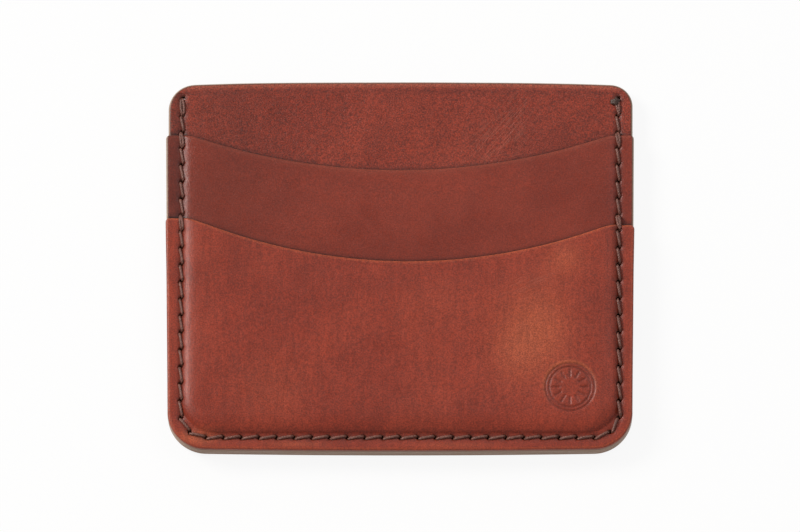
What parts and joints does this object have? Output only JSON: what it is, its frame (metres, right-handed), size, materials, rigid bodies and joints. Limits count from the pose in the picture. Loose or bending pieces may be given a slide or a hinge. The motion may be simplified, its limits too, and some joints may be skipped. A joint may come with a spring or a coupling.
{
  "type": "card wallet",
  "caption": "Flat stitched leather card wallet with a full-width note pocket and stacked card pockets with scooped mouths.",
  "frame": {"origin": "on the surface that the wallet lies on, under the middle of its outline", "axes": "+X towards the wallet's right side seen from its card pockets, +Y towards the pocket mouths, +Z out of the card pockets, along the thickness"},
  "size_m": [0.102, 0.084, 0.0074],
  "materials": {
    "body_leather": "semi-matt waxed vegetable-tanned leather with burnished edges, red-brown",
    "pocket_leather": "smooth satin vegetable-tanned leather with burnished edges, dark red-brown",
    "front_leather": "smooth satin vegetable-tanned leather with lighter pulled-up patches, red-brown",
    "waxed_thread": "waxed twisted thread, dark brown"
  },
  "bodies": {
    "root": {"back_panel": "body_leather", "body_panel": "body_leather", "upper_pocket": "pocket_leather", "front_pocket": "front_leather", "perimeter_thread": "waxed_thread", "floor_thread": "waxed_thread", "top_lock_stitches": "waxed_thread", "upper_mouth_lock_stitches": "waxed_thread", "front_mouth_lock_stitches": "waxed_thread"}
  },
  "joints": []
}
